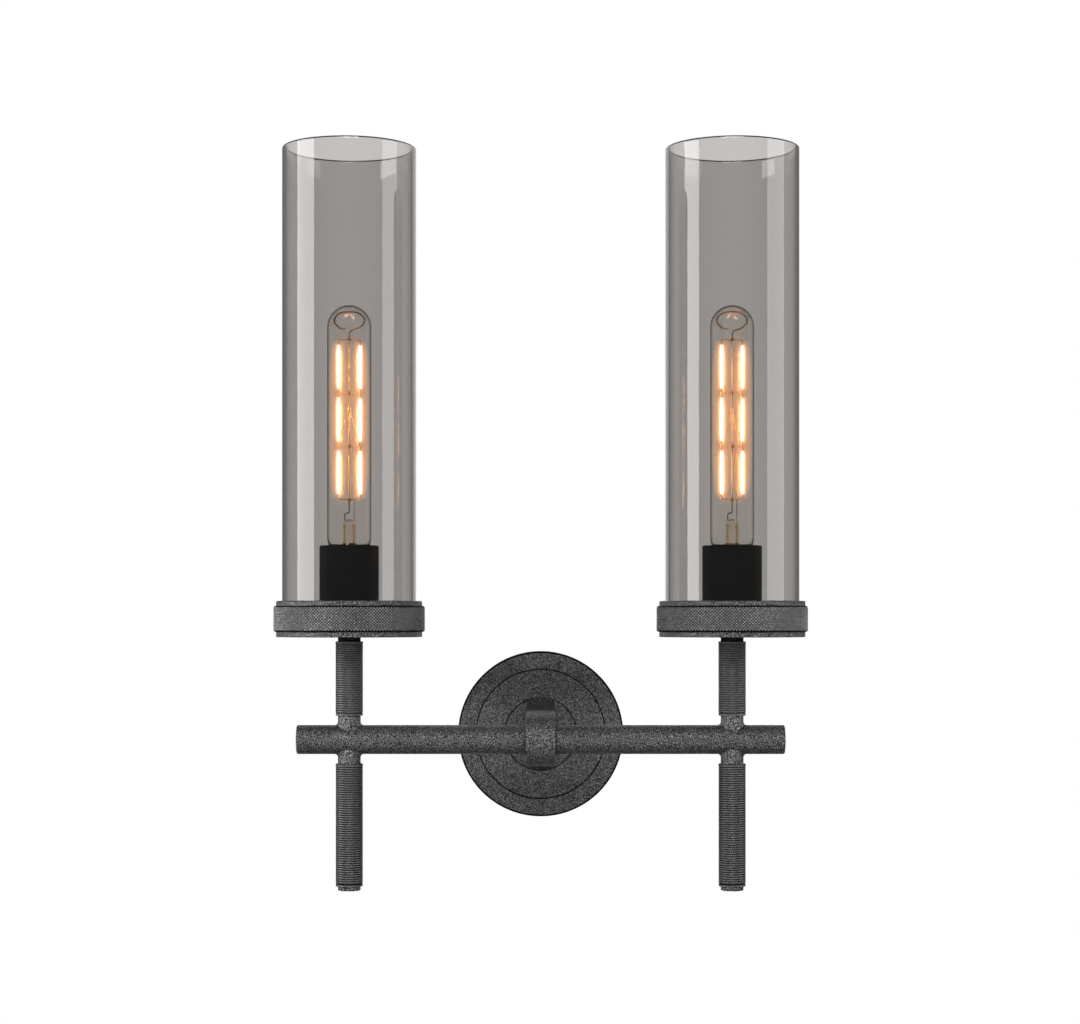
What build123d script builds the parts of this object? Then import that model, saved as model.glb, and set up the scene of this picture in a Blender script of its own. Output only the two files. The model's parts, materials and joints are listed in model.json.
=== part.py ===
from build123d import *
import math
import os

# A two-lamp vanity light. The origin is the centre of the canopy on the wall plane.
# +Z is up, the front faces -Y and +X is to the right. All sizes are in millimetres.

# Layout
post_spacing = 286.0
bar_reach = 108.0

# Clearances
thread_clearance = 0.1
slip_clearance = 0.2
seat_clearance = 0.1
seam_width = 0.5
running_clearance = 0.3
edge_break = 0.6
cut_overshoot = 1.0
same_height = 0.01

# Canopy, the round plate on the wall
canopy_radius = 64.7
canopy_depth = 22.0
canopy_front_wall = 2.0
canopy_rim_wall = 1.8
canopy_edge = 1.2
canopy_groove_radius = 50.6
canopy_groove_width = 1.0
canopy_groove_depth = 0.9
flange_radius = 28.4
flange_thickness = 2.0

# Mounting strap and the screws that hold the canopy on it
strap_width = 20.0
strap_thickness = 1.8
strap_bend_radius = 1.2
strap_end_gap = 0.9
strap_tab_depth = 13.0
box_screw_spacing = 79.4
box_slot_travel = 9.5
box_slot_radius = 2.3
strap_center_hole_radius = 5.2
set_screw_radius = 2.0
set_screw_depth = 8.5
set_screw_key_radius = 1.1
set_screw_key_depth = 2.0
ground_screw_radius = 1.9
ground_screw_offset = 20.0
ground_head_radius = 4.0
ground_head_height = 2.4
ground_slot_width = 1.0
ground_slot_depth = 1.0

# Arm and the crossbar that it carries
arm_width = 22.4
arm_eye_radius = 20.0
arm_flare_radius = 40.0
arm_edge_radius = 1.0
arm_thread_depth = 12.0
bar_radius = 10.9
bar_wall = 2.5
bar_length = 364.0
bar_plug_length = 4.0

# Threaded pipe and nuts
pipe_radius = 4.85
pipe_bore_radius = 3.5
nut_flats = 15.0
nut_height = 3.5
washer_radius = 8.5
washer_thickness = 1.0
pipe_end_beyond_nut = 2.0

# Posts
neck_radius = 8.5
neck_top = 18.0
neck_foot_radius = 2.4
upper_sleeve_radius = 10.3
upper_sleeve_length = 55.3
lower_sleeve_radius = 10.2
lower_sleeve_length = 91.4
rib_pitch = 1.7
rib_groove_width = 0.9
rib_groove_depth = 0.45
sleeve_end_land = 2.0
finial_height = 3.2
finial_edge = 0.8

# Collar that the glass stands in
boss_height = 3.3
base_disc_thickness = 3.9
collar_flange_radius = 54.4
band_height = 19.3
band_radius = 56.5
cup_floor = 3.5
cup_wall = 1.4
cup_top_flange = 3.7
gasket_thickness = 1.5
gasket_width = 5.0

# Glass shade
glass_radius = 50.0
glass_wall = 3.0
glass_length = 356.0
glass_clearance = 0.6
glass_edge = 1.0

# Lamp socket
socket_radius = 22.2
socket_wall = 1.5
socket_floor = 2.0
socket_height = 60.8
socket_lip = 4.6
holder_inset = 3.5
holder_floor = 4.0
holder_cavity_radius = 12.0
holder_cavity_height = 10.0
holder_web = 6.0
shell_wall = 0.6
shell_inset = 3.0
contact_radius = 6.0
contact_plate = 1.0
contact_height = 4.0
contact_crown_radius = 3.0

# Bulb
cap_radius = 12.9
cap_wall = 0.6
cap_height = 23.0
tip_radius = 4.4
tip_height = 1.6
insulator_height = 4.0
insulator_wall = 2.0
bulb_radius = 16.4
bulb_wall = 0.6
bulb_neck_radius = 12.0
bulb_neck_sink = 3.0
bulb_shoulder_height = 9.0
bulb_visible_length = 179.4

# What stands inside the bulb
stem_radius = 4.9
stem_flare_height = 7.0
stem_height = 25.0
stem_dome_radius = 4.4
frame_wire_radius = 0.6
arm_wire_radius = 0.3
left_lead_offset = 3.4
right_lead_offset = 3.6
foot_height = 29.8
filament_radius = 0.95
filament_circle_radius = 8.0
filament_turn = 190.0
filament_tiers = 3
filaments_per_tier = 2
filament_tier_pitch = 39.7
first_bracket_height = 39.9
hub_radius = 1.8
hub_height = 2.2
spring_half_width = 11.3
spring_half_height = 6.5
spring_rise = 6.9
spring_corners = 6
spring_end_gap = 3.0
bend_share = 0.45
jumper_radius = 0.25
jumper_foot_offset = 6.4
jumper_top_offset = 2.4
side_spring_height = 107.0
side_spring_drop = 19.5
side_spring_turn = 60.0
side_spring_collar_radius = 1.3
side_spring_collar_height = 2.0

# Wiring
lead_radius = 1.0
lead_offset_in_pipe = 1.3
lead_bend_radius = 4.0
lead_turn_depth = 8.0
connector_gap = 14.0
connector_length = 20.0
connector_mouth_radius = 4.6
connector_end_radius = 3.2
connector_bore_depth = 12.0

# Heights along a post, counted from the crossbar's axis
bar_bore_radius = bar_radius - bar_wall
pipe_hole_radius = pipe_radius + thread_clearance
upper_sleeve_top = neck_top + upper_sleeve_length
base_disc_low = upper_sleeve_top + boss_height
cup_low = base_disc_low + base_disc_thickness
cup_floor_top = cup_low + cup_floor
band_top = cup_low + band_height
collar_top = band_top + cup_top_flange
glass_low = cup_floor_top + gasket_thickness
glass_high = glass_low + glass_length
socket_top = cup_floor_top + socket_height
socket_nut_low = cup_floor_top + socket_floor
holder_low = socket_nut_low + nut_height
holder_web_low = holder_low + holder_floor + holder_cavity_height
holder_web_top = holder_web_low + holder_web
holder_top = socket_top - holder_inset
pipe_low = bar_bore_radius - thread_clearance
pipe_high = holder_low + holder_floor
tip_low = holder_web_top + contact_height + running_clearance
insulator_low = tip_low + tip_height
cap_low = insulator_low + insulator_height
cap_high = cap_low + cap_height
bulb_low = cap_high - bulb_neck_sink
bulb_high = socket_top + bulb_visible_length
cup_bore_radius = glass_radius + glass_clearance
cup_outer_radius = cup_bore_radius + cup_wall
shell_bore_radius = cap_radius + running_clearance
shell_radius = shell_bore_radius + shell_wall
stem_flare_radius = bulb_neck_radius - bulb_wall - seat_clearance
lower_sleeve_low = -neck_top - lower_sleeve_length
arm_base_depth = canopy_depth


# Basic forms

def rod(radius, low, high):
    """Round bar about Z."""
    return Pos(0, 0, low) * Cylinder(radius, high - low, align=(Align.CENTER, Align.CENTER, Align.MIN))


def tube(outer, inner, low, high):
    """Round tube about Z."""
    return rod(outer, low, high) - rod(inner, low, high)


def turned(points):
    """Solid of revolution about Z from (radius, height) points."""
    outline = Polyline(*[(radius, 0, height) for radius, height in points], close=True)
    return revolve(make_face(outline), Axis.Z)


def along_x(shape):
    """Turns +Z to +X."""
    return Rot(0, 90, 0) * shape


def facing_front(shape):
    """Turns heights into distances from the wall towards the front."""
    return Rot(90, 0, 0) * shape


def wire_between(start, end, radius):
    """Straight round wire between two points."""
    path = Line(start, end)
    return sweep(Plane(origin=start, z_dir=path % 0) * Circle(radius), path=path)


def wire_along(points, bend_radius, radius):
    """Round wire along straight runs with round bends."""
    path = FilletPolyline(*points, radius=bend_radius)
    return sweep(Plane(origin=path @ 0, z_dir=path % 0) * Circle(radius), path=path)


def round_edges_at(shape, height, radius):
    """Rounds the circular edges that lie at one height."""
    rims = shape.edges().filter_by(GeomType.CIRCLE)
    rims = rims.filter_by_position(Axis.Z, height - same_height, height + same_height)
    return fillet(rims, radius)


def hex_key_socket():
    """Hollow for a hexagon key, centred on the end of a headless screw."""
    return extrude(RegularPolygon(set_screw_key_radius, 6), amount=set_screw_key_depth, both=True)


# Wall side

def canopy():
    seat_radius = flange_radius + seam_width
    seat = canopy_depth - flange_thickness
    inner_front = canopy_depth - canopy_front_wall
    groove_low = canopy_depth - canopy_groove_depth
    groove_outer = canopy_groove_radius + canopy_groove_width / 2
    groove_inner = canopy_groove_radius - canopy_groove_width / 2
    shell = turned([
        (canopy_radius, 0),
        (canopy_radius, canopy_depth - canopy_edge),
        (canopy_radius - canopy_edge, canopy_depth),
        (groove_outer, canopy_depth),
        (groove_outer, groove_low),
        (groove_inner, groove_low),
        (groove_inner, canopy_depth),
        (seat_radius, canopy_depth),
        (seat_radius, seat),
        (pipe_hole_radius, seat),
        (pipe_hole_radius, seat - canopy_front_wall),
        (seat_radius + canopy_front_wall, seat - canopy_front_wall),
        (seat_radius + canopy_front_wall, inner_front),
        (canopy_radius - canopy_rim_wall, inner_front),
        (canopy_radius - canopy_rim_wall, 0),
    ])
    way_half = canopy_radius + cut_overshoot
    screw_way = Pos(0, 0, set_screw_depth) * along_x(
        rod(set_screw_radius + thread_clearance, -way_half, way_half))
    return facing_front(shell - screw_way)


def strap_half_length():
    return canopy_radius - canopy_rim_wall - strap_end_gap


def mounting_strap():
    half = strap_half_length()
    plate = Box(2 * half, strap_width, strap_thickness, align=(Align.CENTER, Align.CENTER, Align.MIN))
    for side in (-1, 1):
        tab_center = side * (half - strap_thickness / 2)
        tab = Box(
            strap_thickness, strap_width, strap_tab_depth,
            align=(Align.CENTER, Align.CENTER, Align.MIN),
        )
        plate += Pos(tab_center, 0, 0) * tab
    plate = fillet(plate.edges().filter_by(Axis.Y).group_by(Axis.Z)[0], strap_bend_radius)
    slot = extrude(SlotCenterToCenter(box_slot_travel, 2 * box_slot_radius), strap_thickness)
    for side in (-1, 1):
        plate -= Pos(side * box_screw_spacing / 2, 0, 0) * slot
    plate -= rod(strap_center_hole_radius, 0, strap_thickness)
    ground_hole = rod(ground_screw_radius + thread_clearance, 0, strap_thickness)
    plate -= Pos(ground_screw_offset, 0, 0) * ground_hole
    way_half = half + cut_overshoot
    screw_way = Pos(0, 0, set_screw_depth) * along_x(
        rod(set_screw_radius + thread_clearance, -way_half, way_half))
    return facing_front(plate - screw_way)


def canopy_set_screws():
    length = canopy_rim_wall + strap_end_gap + strap_thickness
    screws = []
    for side in (-1, 1):
        start = side * canopy_radius
        end = side * (canopy_radius - length - thread_clearance)
        screw = along_x(rod(set_screw_radius, min(start, end), max(start, end)))
        socket = Pos(start, 0, 0) * along_x(hex_key_socket())
        screws.append(Pos(0, -set_screw_depth, 0) * (screw - socket))
    return Compound(screws)


def ground_screw():
    shank = rod(ground_screw_radius, 0, strap_thickness)
    head = rod(ground_head_radius, strap_thickness, strap_thickness + ground_head_height)
    head = round_edges_at(head, strap_thickness + ground_head_height, edge_break)
    slot = Box(2 * ground_head_radius, ground_slot_width, 2 * ground_slot_depth)
    slot = Pos(0, 0, strap_thickness + ground_head_height) * slot
    return facing_front(Pos(ground_screw_offset, 0, 0) * (shank + head - slot))


# Arm

def arm_flange():
    low = canopy_depth - flange_thickness
    return facing_front(tube(flange_radius, pipe_hole_radius, low, canopy_depth))


def arm_profile():
    """Outline seen from the side: an eye round the bar that flares to the base."""
    rise = flange_radius - arm_eye_radius
    run = math.sqrt(2 * rise * arm_flare_radius - rise ** 2)
    half_turn = math.asin(run / arm_flare_radius) / 2
    flare_start = -(arm_base_depth + run)
    middle = (
        flare_start + arm_flare_radius * math.sin(half_turn),
        arm_eye_radius + arm_flare_radius * (1 - math.cos(half_turn)),
    )
    edges = [Line((-arm_base_depth, -flange_radius), (-arm_base_depth, flange_radius))]
    for side in (1, -1):
        base = (-arm_base_depth, side * flange_radius)
        tangent = (flare_start, side * arm_eye_radius)
        edges.append(ThreePointArc(base, (middle[0], side * middle[1]), tangent))
        edges.append(Line(tangent, (-bar_reach, side * arm_eye_radius)))
    nose = (-bar_reach - arm_eye_radius, 0)
    edges.append(ThreePointArc((-bar_reach, arm_eye_radius), nose, (-bar_reach, -arm_eye_radius)))
    return make_face(edges)


def arm():
    body = extrude(Plane.YZ * arm_profile(), amount=arm_width / 2, both=True)
    for side in (-1, 1):
        cheek = body.faces().sort_by(Axis.X)[0 if side < 0 else -1]
        outline = [edge for edge in cheek.edges() if edge.center().Y < -arm_base_depth - same_height]
        body = fillet(outline, arm_edge_radius)
    body &= facing_front(rod(flange_radius, arm_base_depth, bar_reach + 2 * arm_eye_radius))
    body -= Pos(0, -bar_reach, 0) * along_x(rod(bar_radius + slip_clearance, -arm_width, arm_width))
    body -= facing_front(rod(pipe_bore_radius, arm_base_depth, bar_reach))
    body -= facing_front(rod(pipe_hole_radius, arm_base_depth, arm_base_depth + arm_thread_depth))
    body -= Pos(0, -bar_reach, 0) * rod(set_screw_radius + thread_clearance, -2 * arm_eye_radius, 0)
    return body


def bar_set_screw():
    low = -arm_eye_radius + edge_break
    screw = rod(set_screw_radius, low, -bar_radius)
    return Pos(0, -bar_reach, 0) * (screw - Pos(0, 0, low) * hex_key_socket())


def arm_nut_depth():
    """Distance from the wall of the canopy's inner face under the arm's nut."""
    return canopy_depth - flange_thickness - canopy_front_wall


def arm_nipple():
    low = arm_nut_depth() - washer_thickness - nut_height - pipe_end_beyond_nut
    return facing_front(tube(pipe_radius, pipe_bore_radius, low, arm_base_depth + arm_thread_depth))


def hex_nut(low):
    blank = extrude(RegularPolygon(nut_flats / 2, 6, major_radius=False), nut_height)
    return Pos(0, 0, low) * blank - rod(pipe_hole_radius, low, low + nut_height)


def arm_lock_washer():
    top = arm_nut_depth()
    return facing_front(tube(washer_radius, pipe_hole_radius, top - washer_thickness, top))


def arm_locknut():
    return facing_front(hex_nut(arm_nut_depth() - washer_thickness - nut_height))


# Crossbar

def crossbar():
    half = bar_length / 2
    bar = rod(bar_radius, -half, half)
    bar = chamfer(bar.edges().filter_by(GeomType.CIRCLE), edge_break)
    bar = along_x(bar - rod(bar_bore_radius, -half, half))
    for side in (-1, 1):
        bar -= Pos(side * post_spacing / 2, 0, 0) * rod(pipe_hole_radius, -2 * bar_radius, 2 * bar_radius)
    bar = Pos(0, -bar_reach, 0) * bar
    return bar - facing_front(rod(pipe_bore_radius, 0, bar_reach))


def bar_end_plugs():
    half = bar_length / 2
    plug = rod(bar_bore_radius - seat_clearance, half - bar_plug_length, half)
    both = (plug, Rot(180, 0, 0) * plug)
    return Compound([Pos(0, -bar_reach, 0) * along_x(shape) for shape in both])


# Post pieces, about the post's own axis

def upper_nipple():
    return tube(pipe_radius, pipe_bore_radius, pipe_low, pipe_high)


def lower_stud():
    return rod(pipe_radius, lower_sleeve_low - finial_height + edge_break + thread_clearance, -pipe_low)


def upper_saddle():
    """Neck coped onto the bar, with a rounded foot where the two meet."""
    half_span = 2 * bar_radius
    cut_half = half_span + cut_overshoot
    bar = along_x(rod(bar_radius, -half_span, half_span))
    blank = bar + rod(neck_radius, 0, neck_top)
    foot = blank.edges().filter_by(GeomType.BSPLINE)
    blank = fillet(foot, neck_foot_radius)
    blank -= along_x(rod(bar_radius + seat_clearance, -cut_half, cut_half))
    return blank - rod(pipe_hole_radius, 0, neck_top)


def lower_saddle():
    return Rot(180, 0, 0) * upper_saddle()


def ribbed_sleeve(radius, low, length):
    """Sleeve with a run of V grooves between two plain lands."""
    count = int((length - 2 * sleeve_end_land + rib_pitch - rib_groove_width) / rib_pitch)
    ribbed = (count - 1) * rib_pitch + rib_groove_width
    first = low + (length - ribbed) / 2
    outline = [(pipe_hole_radius, low), (radius, low)]
    for number in range(count):
        start = first + number * rib_pitch
        outline.append((radius, start))
        outline.append((radius - rib_groove_depth, start + rib_groove_width / 2))
        outline.append((radius, start + rib_groove_width))
    outline += [(radius, low + length), (pipe_hole_radius, low + length)]
    return turned(outline)


def upper_sleeve():
    return ribbed_sleeve(upper_sleeve_radius, neck_top, upper_sleeve_length)


def lower_sleeve():
    return ribbed_sleeve(lower_sleeve_radius, lower_sleeve_low, lower_sleeve_length)


def bottom_finial():
    """Plain tip, tapped for the stud from above."""
    low = lower_sleeve_low - finial_height
    tip = rod(neck_radius, low, lower_sleeve_low)
    tip = round_edges_at(tip, low, finial_edge)
    return tip - rod(pipe_hole_radius, low + edge_break, lower_sleeve_low)


def cup_base():
    disc = rod(collar_flange_radius, base_disc_low, cup_low)
    disc = round_edges_at(disc, base_disc_low, edge_break)
    disc += rod(neck_radius, upper_sleeve_top, base_disc_low)
    return disc - rod(pipe_hole_radius, upper_sleeve_top, cup_low)


def knurled_band():
    bore = cup_outer_radius + seat_clearance
    return turned([
        (bore, cup_low),
        (band_radius - edge_break, cup_low),
        (band_radius, cup_low + edge_break),
        (band_radius, band_top - edge_break),
        (band_radius - edge_break, band_top),
        (bore, band_top),
    ])


def glass_cup():
    return turned([
        (pipe_hole_radius, cup_low),
        (cup_outer_radius, cup_low),
        (cup_outer_radius, band_top),
        (collar_flange_radius, band_top),
        (collar_flange_radius, collar_top - edge_break),
        (collar_flange_radius - edge_break, collar_top),
        (cup_bore_radius, collar_top),
        (cup_bore_radius, cup_floor_top),
        (pipe_hole_radius, cup_floor_top),
    ])


def shade_gasket():
    return tube(glass_radius, glass_radius - gasket_width, cup_floor_top, glass_low)


def glass_shade():
    shade = tube(glass_radius, glass_radius - glass_wall, glass_low, glass_high)
    for height in (glass_low, glass_high):
        shade = round_edges_at(shade, height, glass_edge)
    return shade


# Lamp socket

def socket_cover():
    bore = socket_radius - socket_wall
    mouth = socket_radius - socket_lip
    return turned([
        (pipe_hole_radius, cup_floor_top),
        (socket_radius, cup_floor_top),
        (socket_radius, socket_top - edge_break),
        (socket_radius - edge_break, socket_top),
        (mouth, socket_top),
        (mouth, socket_top - socket_wall),
        (bore, socket_top - socket_wall),
        (bore, socket_nut_low),
        (pipe_hole_radius, socket_nut_low),
    ])


def lampholder():
    outer = socket_radius - socket_wall - slip_clearance
    mouth = shell_radius + thread_clearance
    return turned([
        (pipe_hole_radius, holder_low),
        (outer, holder_low),
        (outer, holder_top),
        (mouth, holder_top),
        (mouth, holder_web_top),
        (0, holder_web_top),
        (0, holder_web_low),
        (holder_cavity_radius, holder_web_low),
        (holder_cavity_radius, holder_low + holder_floor),
        (pipe_hole_radius, holder_low + holder_floor),
    ])


def screw_shell():
    return tube(shell_radius, shell_bore_radius, holder_web_top, holder_top - shell_inset)


def center_contact():
    top = holder_web_top + contact_height
    return turned([
        (0, holder_web_top),
        (contact_radius, holder_web_top),
        (contact_radius, holder_web_top + contact_plate),
        (contact_crown_radius, top - edge_break),
        (contact_crown_radius - edge_break, top),
        (0, top),
    ])


# Bulb

def bulb_cap():
    """Threaded shell and, apart from it, the tip that meets the socket's contact."""
    bore = cap_radius - cap_wall
    shell = tube(cap_radius, bore, cap_low, cap_high)
    tip = rod(tip_radius, tip_low, insulator_low)
    tip = round_edges_at(tip, tip_low, tip_height / 2)
    return Compound([shell, tip])


def bulb_insulator():
    rim = cap_radius - cap_wall - seat_clearance
    return turned([
        (0, insulator_low),
        (tip_radius, insulator_low),
        (cap_radius, cap_low),
        (rim, cap_low),
        (rim, cap_low + insulator_wall),
        (0, cap_low + insulator_wall),
    ])


def bulb_outline(inset):
    """Half outline of the glass, from the neck to the top, a set distance inside its outer face."""
    radius = bulb_radius - inset
    neck = bulb_neck_radius - inset
    dome = bulb_high - bulb_radius
    shoulder_low = cap_high + inset
    shoulder_high = cap_high + bulb_shoulder_height
    return [
        Line((neck, 0, bulb_low), (neck, 0, shoulder_low)),
        Spline(
            (neck, 0, shoulder_low), (radius, 0, shoulder_high),
            tangents=((1, 0, 0), (0, 0, 1)),
        ),
        Line((radius, 0, shoulder_high), (radius, 0, dome)),
        ThreePointArc(
            (radius, 0, dome),
            (radius * math.cos(math.pi / 4), 0, dome + radius * math.sin(math.pi / 4)),
            (0, 0, dome + radius),
        ),
    ]


def bulb_blank(inset):
    edges = bulb_outline(inset)
    top = edges[-1] @ 1
    foot = edges[0] @ 0
    edges.append(Line(top, (0, 0, bulb_low)))
    edges.append(Line((0, 0, bulb_low), foot))
    return revolve(make_face(edges), Axis.Z)


def bulb_envelope():
    return bulb_blank(0) - bulb_blank(bulb_wall)


def bracket_heights():
    first = bulb_low + first_bracket_height
    return [first + number * filament_tier_pitch for number in range(filament_tiers + 1)]


def filament_places():
    step = 360 / filaments_per_tier
    for number in range(filaments_per_tier):
        angle = math.radians(filament_turn + number * step)
        yield filament_circle_radius * math.cos(angle), filament_circle_radius * math.sin(angle)


def stem_height_at(radius):
    """Height of the stem's domed top at a distance from the axis."""
    side = max(radius - (stem_radius - stem_dome_radius), 0)
    return bulb_low + stem_height - stem_dome_radius + math.sqrt(stem_dome_radius ** 2 - side ** 2)


def bulb_stem():
    """Flared glass foot sealed in the neck, with a domed top."""
    top = bulb_low + stem_height
    stem = turned([
        (0, bulb_low),
        (stem_flare_radius, bulb_low),
        (stem_radius, bulb_low + stem_flare_height),
        (stem_radius, top),
        (0, top),
    ])
    return round_edges_at(stem, top, stem_dome_radius)


def bulb_filaments():
    heights = bracket_heights()
    end_gap = arm_wire_radius + seat_clearance
    sticks = []
    for low, high in zip(heights[:-1], heights[1:]):
        stick = rod(filament_radius, low + end_gap, high - end_gap)
        sticks += [Pos(x, y, 0) * stick for x, y in filament_places()]
    return Compound(sticks)


def bracket(height):
    """Hub on the frame wire with an arm to each filament."""
    half = hub_height / 2
    hub = rod(hub_radius, height - half, height + half)
    for x, y in filament_places():
        hub += wire_between((0, 0, height), (x, y, height), arm_wire_radius)
    return hub - rod(frame_wire_radius + seat_clearance, height - half, height + half)


def along_first_arm(offset, height):
    """Point at a height, a set distance from the axis towards the first filament."""
    x, y = next(filament_places())
    share = offset / filament_circle_radius
    return x * share, y * share, height


def widest_bends(points):
    """Bend radius at each inner point, as large as the shorter of its two runs allows."""
    radii = []
    for before, corner, after in zip(points, points[1:], points[2:]):
        run_in = Vector(corner) - Vector(before)
        run_out = Vector(after) - Vector(corner)
        half_turn = math.radians(run_in.get_angle(run_out)) / 2
        radii.append(bend_share * min(run_in.length, run_out.length) / math.tan(half_turn))
    return radii


def spring_points():
    """Corners round an oval loop that opens downwards, and the loop's free end."""
    low = bracket_heights()[-1] + spring_rise
    step = 2 * math.pi / spring_corners
    outward = 1 / math.cos(step / 2)
    middle = low + spring_half_height * (1 + outward) / 2 + frame_wire_radius
    corners = []
    for number in range(spring_corners):
        angle = (number - 1) * step
        across = spring_half_width * outward * math.cos(angle)
        corners.append((across, 0, middle + spring_half_height * outward * math.sin(angle)))
    return [(0, 0, low)] + corners + [(-spring_end_gap, 0, low + 2 * frame_wire_radius)]


def frame_wire():
    """One bent wire: up from the stem, along the axis and round in a spring under the dome."""
    foot = bulb_low + foot_height
    start = stem_height_at(left_lead_offset - frame_wire_radius) + seat_clearance
    points = [
        along_first_arm(left_lead_offset, start),
        along_first_arm(left_lead_offset, foot),
        (0, 0, foot),
    ]
    points += spring_points()
    return wire_along(points, widest_bends(points), frame_wire_radius)


def side_spring():
    """Collar on the frame wire with two legs that steady it against the glass."""
    height = bulb_low + side_spring_height
    half = side_spring_collar_height / 2
    reach = bulb_radius - bulb_wall - running_clearance - arm_wire_radius
    angle = math.radians(filament_turn + side_spring_turn)
    x = reach * math.cos(angle)
    y = reach * math.sin(angle)
    spring = rod(side_spring_collar_radius, height - half, height + half)
    for side in (-1, 1):
        leg_end = (side * x, side * y, height - side_spring_drop)
        spring += wire_between((0, 0, height), leg_end, arm_wire_radius)
    return spring - rod(frame_wire_radius + seat_clearance, height - side_spring_drop, height + half)


def right_lead():
    """Straight wire from the stem to the lowest bracket."""
    low = stem_height_at(right_lead_offset - arm_wire_radius) + seat_clearance
    high = bracket_heights()[0]
    start = along_first_arm(-right_lead_offset, low)
    end = along_first_arm(-right_lead_offset, high)
    return wire_between(start, end, arm_wire_radius)


def jumper_wire():
    """Slanting wire from the second bracket's arm down to just above the lowest bracket."""
    lowest, second = bracket_heights()[:2]
    top = along_first_arm(-jumper_top_offset, second + 2 * arm_wire_radius)
    foot = along_first_arm(-jumper_foot_offset, lowest + 2 * arm_wire_radius)
    return wire_between(foot, top, jumper_radius)


def bulb_support_wires():
    lowest, second, *others = bracket_heights()
    brackets = [bracket(lowest) + right_lead(), bracket(second) + jumper_wire()]
    brackets += [bracket(height) for height in others]
    return Compound(brackets + [side_spring(), frame_wire()])


# Wiring

def lead(side, half):
    """One insulated wire from a socket through post, bar and arm to its connector."""
    offset = half * lead_offset_in_pipe
    post = side * post_spacing / 2
    inner = side * lead_offset_in_pipe
    end = half * (connector_gap + connector_bore_depth)
    points = [
        (post, -bar_reach + offset, holder_web_low),
        (post, -bar_reach + offset, offset),
        (inner, -bar_reach + offset, offset),
        (inner, -lead_turn_depth, offset),
        (inner, -lead_turn_depth, end),
    ]
    return wire_along(points, lead_bend_radius, lead_radius)


def hot_wires():
    return Compound([lead(side, 1) for side in (-1, 1)])


def neutral_wires():
    return Compound([lead(side, -1) for side in (-1, 1)])


def wire_connectors():
    cap = turned([
        (0, connector_bore_depth),
        (lead_offset_in_pipe + lead_radius + slip_clearance, connector_bore_depth),
        (lead_offset_in_pipe + lead_radius + slip_clearance, 0),
        (connector_mouth_radius, 0),
        (connector_end_radius, connector_length - edge_break),
        (connector_end_radius - edge_break, connector_length),
        (0, connector_length),
    ])
    up = Pos(0, -lead_turn_depth, connector_gap) * cap
    return Compound([up, Rot(0, 180, 0) * up])


# Nodes

shared_pieces = (
    mounting_strap, ground_screw, canopy, canopy_set_screws, arm_flange, arm, arm_nipple,
    arm_lock_washer, arm_locknut, crossbar, bar_end_plugs, bar_set_screw, hot_wires,
    neutral_wires, wire_connectors,
)
post_pieces = (
    upper_nipple, lower_stud, upper_saddle, lower_saddle, upper_sleeve, lower_sleeve, bottom_finial,
    cup_base, knurled_band, glass_cup, shade_gasket, glass_shade, socket_cover, lampholder,
    screw_shell, center_contact, bulb_cap, bulb_insulator, bulb_envelope, bulb_stem,
    bulb_filaments, bulb_support_wires,
)
post_places = {
    "left": Pos(-post_spacing / 2, -bar_reach, 0),
    "right": Pos(post_spacing / 2, -bar_reach, 0),
}

os.makedirs("parts", exist_ok=True)
for piece in shared_pieces:
    export_step(piece(), f"parts/{piece.__name__}.step")
for piece in post_pieces:
    shape = piece()
    for side, place in post_places.items():
        export_step(place * shape, f"parts/{side}_{piece.__name__}.step")
nuts = Compound([place * hex_nut(socket_nut_low) for place in post_places.values()])
export_step(nuts, "parts/socket_nuts.step")
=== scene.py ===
import json
import math

import bpy
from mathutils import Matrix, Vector, noise


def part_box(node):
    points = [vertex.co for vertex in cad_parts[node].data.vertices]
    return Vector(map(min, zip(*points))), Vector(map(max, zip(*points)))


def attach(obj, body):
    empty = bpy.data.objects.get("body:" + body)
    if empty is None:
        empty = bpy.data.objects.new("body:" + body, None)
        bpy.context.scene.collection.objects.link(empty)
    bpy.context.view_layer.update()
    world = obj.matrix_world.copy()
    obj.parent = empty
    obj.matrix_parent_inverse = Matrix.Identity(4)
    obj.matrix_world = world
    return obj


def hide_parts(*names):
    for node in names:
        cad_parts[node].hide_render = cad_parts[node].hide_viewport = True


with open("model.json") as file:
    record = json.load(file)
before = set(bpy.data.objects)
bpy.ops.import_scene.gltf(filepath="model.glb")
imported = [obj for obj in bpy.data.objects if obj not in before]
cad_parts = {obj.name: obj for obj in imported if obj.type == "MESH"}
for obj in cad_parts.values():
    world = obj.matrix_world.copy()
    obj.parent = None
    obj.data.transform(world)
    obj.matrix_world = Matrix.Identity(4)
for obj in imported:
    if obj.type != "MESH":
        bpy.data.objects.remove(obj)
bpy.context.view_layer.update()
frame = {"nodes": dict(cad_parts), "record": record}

# Sizes are in metres, in the row's frame: +Z is up and the front faces -Y.
mm = 0.001
sides = ("left", "right")

# The photograph's frame and camera, in its own pixels and in metres
photo_width = 1080
photo_height = 1024
eye_level_row = 618
middle_column = 540.7
focal_pixels = 2369
sensor_width = 36.0
camera_distance = 1.770
camera_height = 0.0908
nearest_view = 0.05

# Metal pieces
sharp_edge_angle = 35.0
edge_break = 0.6 * mm
sleeve_wall = 1.8 * mm
sleeve_land = 2.0 * mm
sleeve_segments = 96
rib_pitch = 1.7 * mm
rib_depth = 0.45 * mm
rib_steps = 8
rib_roundness = 0.6
knurl_pitch = 2.4 * mm
knurl_depth = 0.52 * mm
knurl_edge_angle = 12.0
band_wall = 4.0 * mm
bar_wall = 2.5 * mm
bar_segments = 96
bar_steps = 360
hammer_depth = 0.05 * mm
hammer_size = 4.0 * mm

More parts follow.
